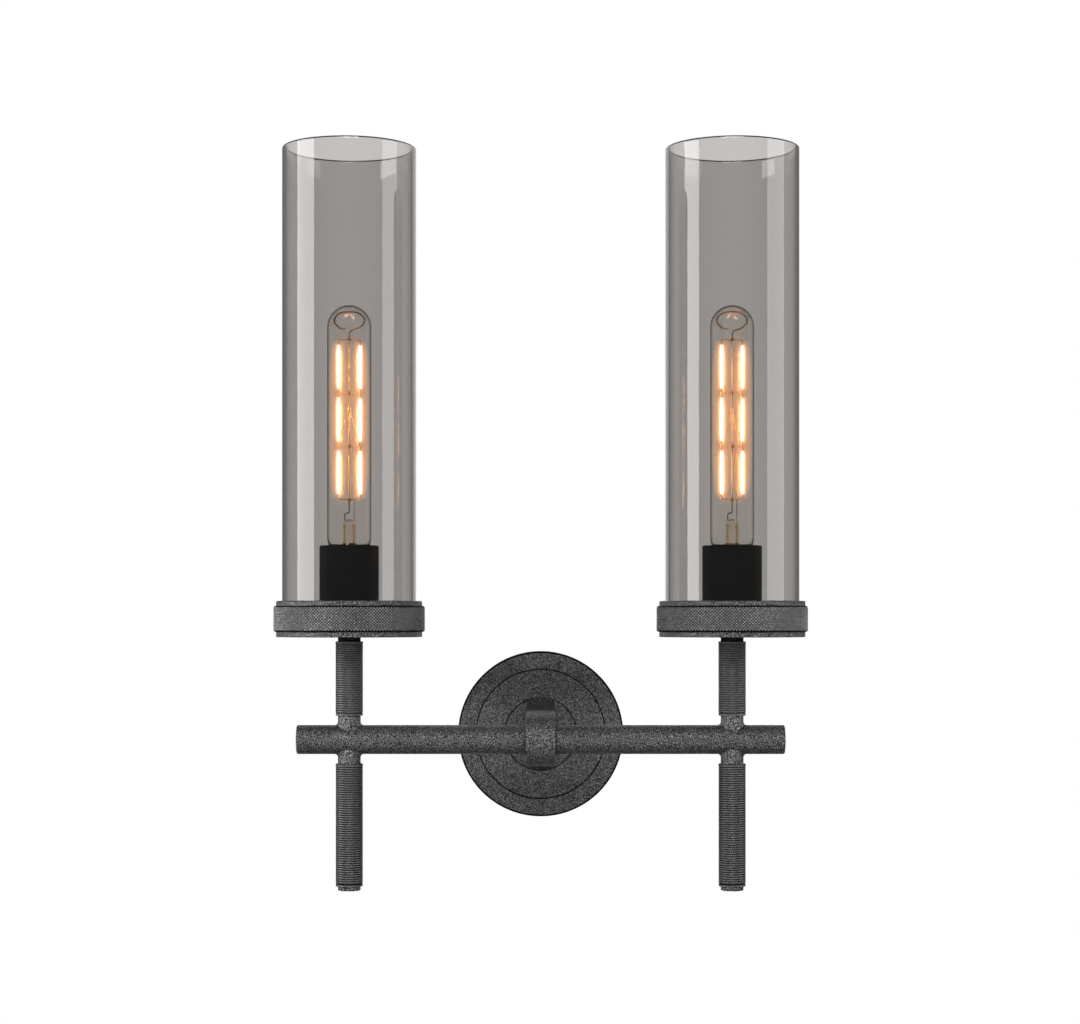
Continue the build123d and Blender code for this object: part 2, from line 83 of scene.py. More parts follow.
# Glass of the shades and the bulbs
glass_wall = 3.0 * mm
glass_rim = 1.0 * mm
glass_rim_steps = 6
glass_segments = 256
bulb_wall = 0.6 * mm
bulb_neck_radius = 12.0 * mm
bulb_neck_length = 3.0 * mm
bulb_shoulder = 9.0 * mm
bulb_foot_steps = 16
bulb_dome_steps = 24
bulb_dome_end = 89.5
bulb_segments = 128
support_row = 1.0 * mm
pole_weld = 0.01 * mm

# Filaments, their tabs and the leads in the stem
filament_circle = 8.0 * mm
filament_turn = 190.0
filament_tiers = 3
filaments_per_tier = 2
filament_radius = 0.95 * mm
tab_length = 2.8 * mm
tab_width = 1.1 * mm
tab_thickness = 0.35 * mm
tab_end_share = 0.6
tab_taper_share = 0.25
lead_radius = 0.45 * mm
lead_offset = 2.3 * mm
lead_above_foot = 5.0 * mm
lead_below_top = 3.0 * mm
drop_radius = 0.9 * mm
drop_low_below_top = 7.0 * mm
drop_high_below_top = 4.0 * mm
stick_steps = 24
stick_segments = 20
coat_fullness = 8

# Shells of light round the filaments
core_glow_radius = 1.8 * mm
near_glow_radius = 3.0 * mm
outer_glow_radius = 5.2 * mm
column_glow_radius = 7.6 * mm
bulb_glow_radius = 14.6 * mm
bulb_glow_reach = 12.0 * mm
bulb_glow_segments = 64
glow_fullness = 5
bead_dim = 0.8
bead_bright = 1.2
core_light = (1.0, 0.78, 0.56)
amber_light = (1.0, 0.46, 0.3)
amber_depth = (1.0, 0.68, 0.0, 1.0)

# Coats of the metal
metal_share = 0.85
coat_grain = 0.72 * mm
coat_relief = 0.6 * mm
coat_roughness = (0.42, 0.56)
coat_dark = (0.012, 0.0117, 0.0115)
coat_light = (0.38, 0.372, 0.365)
coat_stops = (0.39, 0.5, 0.63)
middle_share = 0.2
# Paler high spots on the saddles: a painted highlight
saddle_painted_highlight = (0.5, 0.49, 0.48)
# The plate's tones: a darker copy of the coat, which paints in shade
plate_grain = 0.7 * mm
plate_relief = 0.4 * mm
plate_dark = (0.036, 0.0353, 0.0346)
plate_light = (0.24, 0.236, 0.232)
turned_grain = 1.0 * mm
turned_relief = 0.2 * mm
# Tones of the ribs and knurls: copies of the coat with their own tones, which paint in how light falls on
# the sleeves and the bands
rib_dark = (0.115, 0.112, 0.11)
rib_light = (0.19, 0.186, 0.183)
rib_valley_share = 0.6
knurl_dark = (0.22, 0.216, 0.212)
knurl_light = (0.72, 0.708, 0.696)
knurl_valley_share = 0.62

# Painted shade: nearly black in the grooves, seams and edges, and on the neck under each cup
painted_shade_color = (0.004, 0.004, 0.004, 1.0)
painted_shade_roughness = 0.8
groove_radius = 50.6 * mm
groove_half_width = 0.48 * mm
flange_seam_half_width = 0.45 * mm
plate_edge_inset = 0.75 * mm
plate_edge_half_width = 0.7 * mm
bar_seam_half_width = 0.6 * mm
cup_neck_radius = 11.0 * mm
cup_neck_shade_share = 0.8

# Tints of the glass
white = (1.0, 1.0, 1.0)
smoke_tint = (0.232, 0.186, 0.160)
rim_tint = (0.06, 0.057, 0.054)
rim_fade = 0.25 * mm
bulb_tint = (0.96, 0.84, 0.66)
stem_tint = (0.96, 0.86, 0.68)
wave_scale = (260.0, 260.0, 0.1)

# Floor and backdrop
floor_height = -0.62
floor_reach = 14.0
floor_glow = 0.6
floor_shadow_near = 1.3
floor_shadow_far = 2.1
floor_bounce = (0.3, 0.3, 0.3, 1.0)
backdrop_rise = 0.4
backdrop_levels = ((0.0, 0.0), (0.12, 0.9), (0.45, 0.85), (0.85, 0.3))
studio_level = 0.15
ambient_level = 0.06
half_bounce = 0.5

# Lamps: distances from the plane of the posts, sizes as width and height, and powers in watts
side_lamp_reach = 1.45
side_lamp_forward = 0.35
side_lamp_height = 0.425
side_lamp_size = (0.9, 0.75)
side_lamps = (("left", -1, 14.0), ("right", 1, 7.5))
key_lamp_forward = 2.0
key_lamp_height = 1.12
key_lamp_size = (1.4, 0.4)
key_lamp_power = 17.0
low_lamp_forward = 1.0
low_lamp_height = -0.52
low_lamp_size = (1.4, 0.3)
low_lamp_power = 5.0
back_panel_behind = 0.55
back_panel_height = 0.2
back_panel_aim_height = 0.15
back_panel_size = (0.6, 1.2)
back_panel_power = 1.8


def node_size(node):
    """Center, half width across X, and lower and upper height of a CAD node."""
    low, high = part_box(node)
    center = (low + high) / 2
    return center, (high.x - low.x) / 2, low.z, high.z


shade_center, _, _, shade_top = node_size("left_glass_shade")
post_plane = shade_center.y
post_offset = abs(shade_center.x)
plate_radius = node_size("canopy")[1]
flange_radius = node_size("arm_flange")[1]
sleeve_radius = node_size("left_upper_sleeve")[1]
band_radius = node_size("left_knurled_band")[1]
arm_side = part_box("arm")[1].x


# Node helpers

def new_material(name):
    material = bpy.data.materials.new(name)
    material.use_nodes = True
    return material, material.node_tree, principled(material)


def principled(material):
    return material.node_tree.nodes["Principled BSDF"]


def add_node(tree, kind, inputs=None, **settings):
    node = tree.nodes.new(kind)
    for key, value in settings.items():
        setattr(node, key, value)
    for key, value in (inputs or {}).items():
        node.inputs[key].default_value = value
    return node


def object_coordinates(tree):
    return add_node(tree, "ShaderNodeTexCoord").outputs["Object"]


def stretched_coordinates(tree, scale):
    mapping = add_node(tree, "ShaderNodeMapping", {"Scale": scale})
    tree.links.new(object_coordinates(tree), mapping.inputs["Vector"])
    return mapping.outputs["Vector"]


def separated(tree, coordinates):
    part = add_node(tree, "ShaderNodeSeparateXYZ")
    tree.links.new(coordinates, part.inputs[0])
    return [part.outputs[axis] for axis in "XYZ"]


def distance_from_origin(tree, axes):
    """Distance from the row's origin, counted along the axes that are 1."""
    flat = add_node(tree, "ShaderNodeVectorMath", {1: axes}, operation="MULTIPLY")
    tree.links.new(object_coordinates(tree), flat.inputs[0])
    length = add_node(tree, "ShaderNodeVectorMath", operation="LENGTH")
    tree.links.new(flat.outputs["Vector"], length.inputs[0])
    return length.outputs["Value"]


def noise_texture(tree, scale, detail=2.0, roughness=0.5, coordinates=None):
    node = add_node(tree, "ShaderNodeTexNoise", {"Scale": scale, "Detail": detail, "Roughness": roughness})
    tree.links.new(coordinates or object_coordinates(tree), node.inputs["Vector"])
    return node.outputs["Fac"]


def ramp(tree, source, stops):
    node = add_node(tree, "ShaderNodeValToRGB")
    elements = node.color_ramp.elements
    while len(elements) < len(stops):
        elements.new(0.5)
    for element, (position, color) in zip(elements, stops):
        element.position = position
        element.color = (*color, 1.0)
    tree.links.new(source, node.inputs["Fac"])
    return node.outputs["Color"]


def spread(tree, source, low, high, from_low=0.0, from_high=1.0):
    node = add_node(tree, "ShaderNodeMapRange", {
        "From Min": from_low, "From Max": from_high, "To Min": low, "To Max": high})
    tree.links.new(source, node.inputs["Value"])
    return node.outputs["Result"]


def calculate(tree, operation, *values):
    """Result of a math operation on numbers and sockets."""
    node = add_node(tree, "ShaderNodeMath", operation=operation)
    for socket, value in zip(node.inputs, values):
        if isinstance(value, (int, float)):
            socket.default_value = value
        else:
            tree.links.new(value, socket)
    return node.outputs["Value"]


def mix_shaders(tree, share, first, second):
    mix = add_node(tree, "ShaderNodeMixShader")
    tree.links.new(share, mix.inputs["Fac"])
    tree.links.new(first, mix.inputs[1])
    tree.links.new(second, mix.inputs[2])
    return mix.outputs["Shader"]


def color_by(tree, shader, pattern, dark, light, start=0.3, end=0.7):
    """Base colour that goes from dark to light with a pattern."""
    tree.links.new(ramp(tree, pattern, [(start, dark), (end, light)]), shader.inputs["Base Color"])


def roughen_by(tree, shader, pattern, roughness, start=0.0, end=1.0):
    """Roughness that goes from its low to its high value with a pattern."""
    tree.links.new(spread(tree, pattern, *roughness, start, end), shader.inputs["Roughness"])


def bump(tree, shader, height, strength, distance):
    node = add_node(tree, "ShaderNodeBump", {"Strength": strength, "Distance": distance})
    tree.links.new(height, node.inputs["Height"])
    tree.links.new(node.outputs["Normal"], shader.inputs["Normal"])


# Metals

def weathered_metal(name, grain_size=coat_grain, relief=coat_relief, dark=coat_dark, light=coat_light):
    """Dark grey coat with a fine leathery grain, paler on its high spots: partly the coat's speckle,
    partly painted glints.
    """
    material, tree, shader = new_material(name)
    grain = noise_texture(tree, scale=1 / grain_size, detail=1.5, roughness=0.6)
    patches = noise_texture(tree, scale=70.0, detail=3.0)
    middle = tuple((1 - middle_share) * low + middle_share * high for low, high in zip(dark, light))
    color = ramp(tree, grain, list(zip(coat_stops, (dark, middle, light))))
    tree.links.new(color, shader.inputs["Base Color"])
    roughen_by(tree, shader, patches, coat_roughness, start=0.35, end=0.65)
    shader.inputs["Metallic"].default_value = metal_share
    bump(tree, shader, grain, strength=1.0, distance=relief)
    return material


def set_where(material, socket_name, value, kind, label, mask):
    """Gives a shader's socket a set value where the mask is 1, and what it had elsewhere."""
    tree = material.node_tree
    socket = principled(material).inputs[socket_name]
    mix = add_node(tree, "ShaderNodeMix", data_type=kind)
    inputs = {entry.identifier: entry for entry in mix.inputs}
    outputs = {entry.identifier: entry for entry in mix.outputs}
    tree.links.new(mask, inputs["Factor_Float"])
    tree.links.new(socket.links[0].from_socket, inputs[f"A_{label}"])
    inputs[f"B_{label}"].default_value = value
    tree.links.new(outputs[f"Result_{label}"], socket)


def paint_shade(material, mask):
    """Painted shade: nearly black and dull wherever the mask is 1."""
    set_where(material, "Base Color", painted_shade_color, "RGBA", "Color", mask)
    set_where(material, "Roughness", painted_shade_roughness, "FLOAT", "Float", mask)


def post_radius(tree):
    """Distance from the nearer post's axis."""
    x, y, _ = separated(tree, object_coordinates(tree))
    across = calculate(tree, "SUBTRACT", calculate(tree, "ABSOLUTE", x), post_offset)
    along = calculate(tree, "SUBTRACT", y, post_plane)
    squares = [calculate(tree, "POWER", distance, 2) for distance in (across, along)]
    return calculate(tree, "SQRT", calculate(tree, "ADD", *squares))


def turned_metal(name, outer_radius, depth, valley_share, dark, light):
    """Knurled or ribbed metal, with painted shade: nearly black in the lowest share of its valleys."""
    material = weathered_metal(name, turned_grain, turned_relief, dark, light)
    tree = material.node_tree
    valley = outer_radius - depth
    paint_shade(material, spread(tree, post_radius(tree), 1.0, 0.0, valley, valley + valley_share * depth))
    return material


def plate_metal():
    """Wall plate and flange: the same coat in darker tones that paint in shade, and painted shade, black,
    in the turned ring, the seam and the rounded edge.
    """
    material = weathered_metal("plate_metal", plate_grain, plate_relief, plate_dark, plate_light)
    tree = material.node_tree
    radius = distance_from_origin(tree, axes=(1, 0, 1))
    mask = 0
    for ring, half_width in ((groove_radius, groove_half_width), (flange_radius, flange_seam_half_width),
                             (plate_radius - plate_edge_inset, plate_edge_half_width)):
        mask = calculate(tree, "MAXIMUM", calculate(tree, "COMPARE", radius, ring, half_width), mask)
    paint_shade(material, mask)
    return material


def cup_metal():
    """The cup's base, with painted shade: its coat is black on the neck under the cup, which stands on the
    sleeve.
    """
    material = weathered_metal("cup_metal")
    tree = material.node_tree
    neck = calculate(tree, "LESS_THAN", post_radius(tree), cup_neck_radius)
    paint_shade(material, calculate(tree, "MULTIPLY", neck, cup_neck_shade_share))
    return material


def bar_metal():
    """The crossbar's coat, with a painted contact shadow: black in the seams where the arm grips it."""
    material = weathered_metal("bar_metal")
    tree = material.node_tree
    x, _, _ = separated(tree, object_coordinates(tree))
    from_middle = calculate(tree, "ABSOLUTE", x)
    paint_shade(material, calculate(tree, "COMPARE", from_middle, arm_side, bar_seam_half_width))
    return material


def plated_steel():
    """Zinc plated steel of the strap, pipes and nuts, with faint rolling marks."""
    material, tree, shader = new_material("plated_steel")
    rolled = stretched_coordinates(tree, (60.0, 900.0, 900.0))
    marks = noise_texture(tree, scale=1.0, detail=4.0, coordinates=rolled)
    spangle = noise_texture(tree, scale=180.0, detail=3.0)
    color_by(tree, shader, spangle, (0.42, 0.40, 0.36), (0.62, 0.60, 0.55), start=0.35, end=0.65)
    roughen_by(tree, shader, marks, roughness=(0.26, 0.48))
    shader.inputs["Metallic"].default_value = 1.0
    bump(tree, shader, marks, strength=0.12, distance=0.1 * mm)
    return material


def toned_metal(name, dark, light, roughness, metallic=1.0):
    """Bare or plated metal with a soft tarnish."""
    material, tree, shader = new_material(name)
    tarnish = noise_texture(tree, scale=260.0, detail=4.0)
    scratches = noise_texture(tree, scale=1800.0)
    color_by(tree, shader, tarnish, dark, light)
    roughen_by(tree, shader, scratches, roughness)
    shader.inputs["Metallic"].default_value = metallic
    bump(tree, shader, scratches, strength=0.05, distance=0.05 * mm)
    return material


def painted_glow_gold():
    """Gilded leads in the stem, with a painted glow that stands in for the filaments' light they catch."""
    material = toned_metal(
        "lead_gold_painted_glow", (0.62, 0.4, 0.16), (0.9, 0.62, 0.28), roughness=(0.3, 0.45), metallic=0.45)
    shader = principled(material)
    shader.inputs["Emission Color"].default_value = (0.9, 0.55, 0.2, 1.0)
    shader.inputs["Emission Strength"].default_value = 0.3
    return material


# Plastics and glass

def satin_black():
    """Socket cover: black, smooth, with a faint moulded grain."""
    material, tree, shader = new_material("satin_black")
    grain = noise_texture(tree, scale=700.0, detail=3.0)
    cloud = noise_texture(tree, scale=60.0)
    color_by(tree, shader, cloud, (0.003, 0.003, 0.003), (0.006, 0.006, 0.005))
    roughen_by(tree, shader, grain, roughness=(0.42, 0.56))
    shader.inputs["Specular IOR Level"].default_value = 0.3
    bump(tree, shader, grain, strength=0.04, distance=0.2 * mm)
    return material


def plain_plastic(name, dark, light, roughness):
    """Moulded plastic, rubber, paint or glaze with a little mottle."""
    material, tree, shader = new_material(name)
    mottle = noise_texture(tree, scale=140.0, detail=3.0)
    grain = noise_texture(tree, scale=1300.0)
    color_by(tree, shader, mottle, dark, light)
    roughen_by(tree, shader, grain, roughness)
    bump(tree, shader, grain, strength=0.08, distance=0.1 * mm)
    return material


def drawn_glass(name, tint, density, index, waviness):
    """Clear or smoke glass with drawing waves. The tint is in the depth of the glass."""
    material, tree, shader = new_material(name)
    shader.inputs["Base Color"].default_value = (*white, 1.0)
    shader.inputs["Transmission Weight"].default_value = 1.0
    shader.inputs["IOR"].default_value = index
    film = noise_texture(tree, scale=45.0, detail=3.0)
    roughen_by(tree, shader, film, roughness=(0.0, 0.012))
    waves = noise_texture(tree, scale=1.0, detail=1.0, coordinates=stretched_coordinates(tree, wave_scale))
    bump(tree, shader, waves, strength=waviness, distance=1.0 * mm)
    depth = add_node(tree, "ShaderNodeVolumeAbsorption", {"Color": (*tint, 1.0), "Density": density})
    tree.links.new(depth.outputs["Volume"], tree.nodes["Material Output"].inputs["Volume"])
    return material


def shade_glass():
    """Smoke glass whose upper rim looks darker than the wall."""
    material = drawn_glass("smoke_glass", smoke_tint, density=229.0, index=1.5, waviness=0.02)
    tree = material.node_tree
    _, _, z = separated(tree, object_coordinates(tree))
    rim_low = shade_top - glass_rim
    rim = spread(tree, z, 0.0, 1.0, rim_low, rim_low + rim_fade)
    color_by(tree, principled(material), rim, white, rim_tint, start=0.0, end=1.0)
    return material


# Light of the filaments

def glowing(name, color, strength):
    """Lit phosphor: brighter beads along the strip."""
    material, tree, shader = new_material(name)
    beads = noise_texture(tree, scale=900.0)
    shader.inputs["Base Color"].default_value = (*color, 1.0)
    shader.inputs["Roughness"].default_value = 0.5
    shader.inputs["Emission Color"].default_value = (*color, 1.0)
    light = spread(tree, beads, strength * bead_dim, strength * bead_bright)
    tree.links.new(light, shader.inputs["Emission Strength"])
    return material


def painted_halo(name, color, strength, density=0.0):
    """Painted glow round a lit filament: a volume that gives light, with an amber depth."""
    material, tree, shader = new_material(name)
    tree.nodes.remove(shader)
    light = add_node(tree, "ShaderNodeEmission", {"Color": (*color, 1.0), "Strength": strength})
    depth = add_node(tree, "ShaderNodeVolumeAbsorption", {"Color": amber_depth, "Density": density})
    both = add_node(tree, "ShaderNodeAddShader")
    tree.links.new(light.outputs["Emission"], both.inputs[0])
    tree.links.new(depth.outputs["Volume"], both.inputs[1])
    tree.links.new(both.outputs["Shader"], tree.nodes["Material Output"].inputs["Volume"])
    return material


# One material for each slot of the record, and those that single pieces have of their own
materials = {
    "dark_metal": weathered_metal("weathered_metal"),
    "plated_steel": plated_steel(),
    "ground_green": plain_plastic(
        "green_dye", (0.02, 0.2, 0.06), (0.04, 0.3, 0.11), roughness=(0.3, 0.45)),
    "socket_black": satin_black(),
    "porcelain": plain_plastic(
        "porcelain", (0.74, 0.73, 0.69), (0.84, 0.83, 0.8), roughness=(0.12, 0.22)),
    "brass": toned_metal(
        "brass", (0.52, 0.36, 0.14), (0.74, 0.55, 0.26), roughness=(0.22, 0.38)),
    "cap_metal": toned_metal(
        "nickel", (0.58, 0.55, 0.5), (0.75, 0.72, 0.67), roughness=(0.2, 0.36)),
    "cap_glass": plain_plastic(
        "black_glass", (0.01, 0.01, 0.012), (0.02, 0.02, 0.025), roughness=(0.05, 0.12)),
    "smoke_glass": shade_glass(),
    "clear_glass": drawn_glass("bulb_glass", bulb_tint, density=220.0, index=1.47, waviness=0.02),
    "stem_glass": drawn_glass("stem_glass", stem_tint, density=60.0, index=1.5, waviness=0.12),
    "filament": glowing("phosphor_coat", (1.0, 0.7, 0.4), strength=24.0),
    "support_wire": toned_metal(
        "gilded_wire", (0.66, 0.52, 0.34), (0.92, 0.78, 0.58), roughness=(0.35, 0.5), metallic=0.55),
    "gasket_rubber": plain_plastic(
        "gasket_rubber", (0.018, 0.018, 0.018), (0.03, 0.03, 0.03), roughness=(0.6, 0.8)),
    "black_insulation": plain_plastic(
        "black_insulation", (0.012, 0.012, 0.012), (0.02, 0.02, 0.02), roughness=(0.35, 0.5)),
    "white_insulation": plain_plastic(
        "white_insulation", (0.72, 0.72, 0.69), (0.82, 0.82, 0.8), roughness=(0.35, 0.5)),
    "connector_plastic": plain_plastic(
        "connector_plastic", (0.62, 0.24, 0.03), (0.74, 0.32, 0.06), roughness=(0.35, 0.5)),
}
rib_metal = turned_metal(
    "rib_metal", sleeve_radius, rib_depth, rib_valley_share, rib_dark, rib_light)
knurl_metal = turned_metal(
    "knurl_metal", band_radius, knurl_depth, knurl_valley_share, knurl_dark, knurl_light)
lead_gold_painted_glow = painted_glow_gold()
tab_metal = toned_metal("tab_metal", (0.4, 0.3, 0.2), (0.6, 0.5, 0.38), roughness=(0.25, 0.4))
stick_glows = (
    ("core", core_glow_radius, painted_halo("core_glow", core_light, strength=420.0)),
    ("near", near_glow_radius, painted_halo("near_glow", amber_light, strength=280.0)),
    ("outer", outer_glow_radius, painted_halo("outer_glow", amber_light, strength=35.0)),
)
column_glow = painted_halo("column_glow", amber_light, strength=34.0, density=26.0)
bulb_glow = painted_halo("bulb_glow", amber_light, strength=6.0, density=10.0)
plate = plate_metal()
cup = cup_metal()
# The saddles' coat with paler high spots: a painted highlight
saddle = weathered_metal("neck_metal", light=saddle_painted_highlight)
own_materials = {"canopy": plate, "arm_flange": plate}
for side in sides:
    own_materials[f"{side}_cup_base"] = cup
    own_materials[f"{side}_upper_saddle"] = saddle
    own_materials[f"{side}_lower_saddle"] = saddle


def dress_cad_nodes():
    """Gives each CAD node the material of its slot, or its own."""
    slots = {entry["node"]: entry["material_slot"] for entry in frame["record"]["subparts"]}
    for name, node in frame["nodes"].items():
        node.data.materials.clear()
        node.data.materials.append(own_materials.get(name, materials[slots[name]]))


# Mesh helpers

def mesh_object(name, vertices, faces, material, sharp_angle=sharp_edge_angle):
    mesh = bpy.data.meshes.new(name)
    mesh.from_pydata(vertices, [], faces)
    mesh.update()
    mesh.polygons.foreach_set("use_smooth", [True] * len(mesh.polygons))
    mesh.set_sharp_from_angle(angle=math.radians(sharp_angle))
    mesh.materials.append(material)
    piece = bpy.data.objects.new(name, mesh)
    bpy.context.scene.collection.objects.link(piece)
    return piece


def circle(center, radius, height, segments):
    """Points of a level circle about a vertical line through center."""
    points = []
    for number in range(segments):
        angle = 2 * math.pi * number / segments
        points.append((center.x + radius * math.cos(angle), center.y + radius * math.sin(angle), height))
    return points


def ring_faces(rows, columns, closed):
    """Quads of a grid that is closed round its columns, and along its rows where the outline is closed."""
    faces = []
    for row in range(rows if closed else rows - 1):
        after = (row + 1) % rows
        for column in range(columns):
            beside = (column + 1) % columns
            faces.append((row * columns + column, row * columns + beside,
                          after * columns + beside, after * columns + column))
    return faces


def stick_faces(rows, columns):
    """Quads round a stick, and a flat face at each end."""
    last = (rows - 1) * columns
    ends = [tuple(reversed(range(columns))), tuple(range(last, last + columns))]
    return ring_faces(rows, columns, False) + ends


def turned_points(center, outline, segments):
    """Turns (radius, height) points about a vertical line through center."""
    points = []
    for radius, height in outline:
        points += circle(center, radius, height, segments)
    return points


def lathe(name, center, outline, material, segments):
    """Turned piece whose outline is closed, with a bore."""
    faces = ring_faces(len(outline), segments, True)
    return mesh_object(name, turned_points(center, outline, segments), faces, material)


def joined(name, meshes, material):
    """One piece from several lists of points and faces."""
    vertices, faces = [], []
    for part_vertices, part_faces in meshes:
        start = len(vertices)
        vertices += part_vertices
        faces += [tuple(start + corner for corner in face) for face in part_faces]
    return mesh_object(name, vertices, faces, material)


def joined_sticks(name, sticks, material, segments=stick_segments):
    """One piece from several turned sticks, each given by its center and outline."""
    meshes = []
    for center, outline in sticks:
        meshes.append((turned_points(center, outline, segments), stick_faces(len(outline), segments)))
    return joined(name, meshes, material)


def arc(center_radius, center_height, radius, start, end, steps):
    """Points of a round corner, with angles in degrees."""
    points = []
    for number in range(steps + 1):
        angle = math.radians(start + (end - start) * number / steps)
        points.append((center_radius + radius * math.cos(angle), center_height + radius * math.sin(angle)))
    return points


def stand_for(piece, node, body):
    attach(piece, body)
    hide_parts(node)


def ride_bulb(piece, side):
    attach(piece, f"{side}_bulb")


# Metal pieces

def ribbed_sleeve(side, place):
    """Sleeve with rounded rings between two plain lands."""
    node = f"{side}_{place}_sleeve"
    center, radius, low, high = node_size(node)
    count = int((high - low - 2 * sleeve_land) / rib_pitch)
    first = low + (high - low - count * rib_pitch) / 2
    last = first + count * rib_pitch
    bore = radius - sleeve_wall
    half_break = edge_break / 2
    outline = [(bore, low), (radius - half_break, low), (radius, low + half_break)]
    for number in range(count):
        for step in range(rib_steps):
            share = step / rib_steps
            rise = math.sin(math.pi * share) ** rib_roundness
            outline.append((radius - rib_depth * (1 - rise), first + (number + share) * rib_pitch))
    outline += [(radius - rib_depth, last), (radius, last + rib_depth)]
    outline += [(radius, high - half_break), (radius - half_break, high), (bore, high)]
    piece = lathe(f"{side}_{place}_ribbed_sleeve", center, outline, rib_metal, sleeve_segments)
    stand_for(piece, node, "fixture")


def diamond_faces(rows, columns, first_row, last_row):
    """Faces of a closed grid, split between two rows so that the raised points there become diamonds."""
    faces = []
    for a, b, c, d in ring_faces(rows, columns, True):
        row, column = divmod(a, columns)
        if not first_row <= row < last_row:
            faces.append((a, b, c, d))
        elif row % 2 == column % 2:
            faces += [(a, b, d), (b, c, d)]
        else:
            faces += [(a, b, c), (a, c, d)]
    return faces


def knurled_band(side):
    """Ring whose outer face is cut into small raised diamonds."""
    node = f"{side}_knurled_band"
    center, radius, low, high = node_size(node)
    bore = radius - band_wall
    valley = radius - knurl_depth
    face_low = low + edge_break
    face_height = high - edge_break - face_low
    columns = 2 * round(math.pi * radius * 2 / knurl_pitch)
    rows = 2 * round(face_height / knurl_pitch)
    under = turned_points(center, [(bore, low), (valley - edge_break, low)], columns)
    over = turned_points(center, [(valley - edge_break, high), (bore, high)], columns)
    knurls = []
    for row in range(rows + 1):
        height = face_low + face_height * row / rows
        crests = circle(center, radius, height, columns)
        valleys = circle(center, valley, height, columns)
        for column in range(columns):
            raised = row % 2 == column % 2 and 0 < row < rows
            knurls.append(crests[column] if raised else valleys[column])
    vertices = under + knurls + over
    first_row = len(under) // columns
    faces = diamond_faces(len(vertices) // columns, columns, first_row, first_row + rows)
    piece = mesh_object(f"{side}_diamond_band", vertices, faces, knurl_metal, knurl_edge_angle)
    stand_for(piece, node, "fixture")


def hammered_bar():
    """The crossbar's tube with the slight unevenness of its coat."""
    low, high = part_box("crossbar")
    center = (low + high) / 2
    radius = (high.z - low.z) / 2
    bore = radius - bar_wall
    even_low = low.x + edge_break
    even_length = high.x - low.x - 2 * edge_break
    stations = [(low.x, radius - edge_break), (even_low, radius)]
    for step in range(1, bar_steps):
        stations.append((even_low + even_length * step / bar_steps, radius))
    stations += [(high.x - edge_break, radius), (high.x, radius - edge_break)]
    stations += [(high.x, bore), (low.x, bore)]
    vertices = []
    for x, station_radius in stations:
        for column in range(bar_segments):
            angle = 2 * math.pi * column / bar_segments
            direction = Vector((0, math.cos(angle), math.sin(angle)))
            place = Vector((x, 0, 0)) + direction * station_radius
            if station_radius == radius:
                dent = hammer_depth * noise.noise(place / hammer_size)
                place = place + direction * (dent - hammer_depth)
            vertices.append((place.x, center.y + place.y, center.z + place.z))
    faces = ring_faces(len(stations), bar_segments, True)
    piece = mesh_object("hammered_crossbar", vertices, faces, bar_metal())
    stand_for(piece, "crossbar", "fixture")


# Glass pieces

def glass_tube(side):
    """Shade: an open tube with fire-polished rims."""
    node = f"{side}_glass_shade"
    center, radius, low, high = node_size(node)
    bore = radius - glass_wall
    rim_low = low + glass_rim
    rim_high = high - glass_rim
    outline = arc(radius - glass_rim, rim_low, glass_rim, -90, 0, glass_rim_steps)
    outline += [(radius, rim_low + glass_rim), (radius, rim_high - glass_rim)]
    outline += arc(radius - glass_rim, rim_high, glass_rim, 0, 90, glass_rim_steps)
    outline += arc(bore + glass_rim, rim_high, glass_rim, 90, 180, glass_rim_steps)
    outline += [(bore, rim_high - glass_rim), (bore, rim_low + glass_rim)]
    outline += arc(bore + glass_rim, rim_low, glass_rim, 180, 270, glass_rim_steps)
    piece = lathe(f"{side}_smoke_tube", center, outline, materials["smoke_glass"], glass_segments)
    stand_for(piece, node, f"{side}_shade")


def bulb_outline(low, high, radius, inset):
    """Half outline of the bulb's glass from neck to top, a set distance inside its outer face."""
    neck = bulb_neck_radius - inset
    side = radius - inset
    foot = low + bulb_neck_length + inset
    shoulder = low + bulb_neck_length + bulb_shoulder
    dome = high - radius
    points = [(neck, low), (neck, foot)]
    for number in range(1, bulb_foot_steps + 1):
        angle = math.pi / 2 * number / bulb_foot_steps
        rise = (shoulder - foot) * (1 - math.cos(angle))
        points.append((neck + (side - neck) * math.sin(angle), foot + rise))
    points += [(side, shoulder + support_row), (side, dome - support_row)]
    return points + arc(0, dome, side, 0, bulb_dome_end, bulb_dome_steps)


def bulb_glass(side):
    """The bulb's thin envelope, closed over the top."""
    node = f"{side}_bulb_envelope"
    center, radius, low, high = node_size(node)
    outer = bulb_outline(low, high, radius, 0)
    inner = bulb_outline(low, high, radius, bulb_wall)
    outline = outer + [(0, high), (0, high - bulb_wall)] + inner[::-1]
    piece = lathe(f"{side}_bulb_glass", center, outline, materials["clear_glass"], bulb_segments)
    weld = piece.modifiers.new("weld_poles", "WELD")
    weld.merge_threshold = pole_weld
    stand_for(piece, node, f"{side}_bulb")


# Filaments and leads in the bulb

def spindle(radius, low, high, fullness):
    """Outline of a stick that narrows to rounded ends, the more bluntly the fuller it is."""
    outline = []
    for number in range(1, stick_steps):
        share = number / stick_steps
        width = math.sqrt(1 - abs(2 * share - 1) ** fullness)
        outline.append((radius * width, low + (high - low) * share))
    return outline


def filament_places(center):
    """Foot and direction of each filament of a tier."""
    for number in range(filaments_per_tier):
        angle = math.radians(filament_turn + number * 360 / filaments_per_tier)
        yield Vector((center.x + filament_circle * math.cos(angle),
                      center.y + filament_circle * math.sin(angle), 0)), angle


